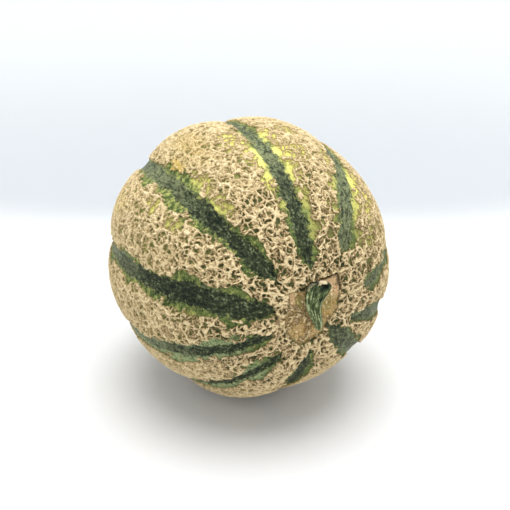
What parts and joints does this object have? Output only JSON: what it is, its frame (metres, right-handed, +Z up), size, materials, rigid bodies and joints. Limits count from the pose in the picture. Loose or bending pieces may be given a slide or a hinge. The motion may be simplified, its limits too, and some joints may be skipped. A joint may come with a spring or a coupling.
{
  "type": "cantaloupe melon",
  "caption": "Round netted melon with shallow ribs, dark green sutures and a short stub of stem, lying on its side on a small flat spot.",
  "frame": {"origin": "on the flat resting spot, under the middle of the box", "axes": "+Z up; the stem end faces -Y and the blossom end +Y; +X completes a right-handed frame"},
  "size_m": [0.1378, 0.151, 0.1366],
  "materials": {
    "netted_rind": "tan corky net over olive green rind, with dark green stripes along the sutures, matte",
    "dried_stem": "dull grey-green fibrous stalk with pale corky edges"
  },
  "bodies": {
    "root": {"melon": "netted_rind", "stem_stub": "dried_stem"}
  },
  "joints": []
}
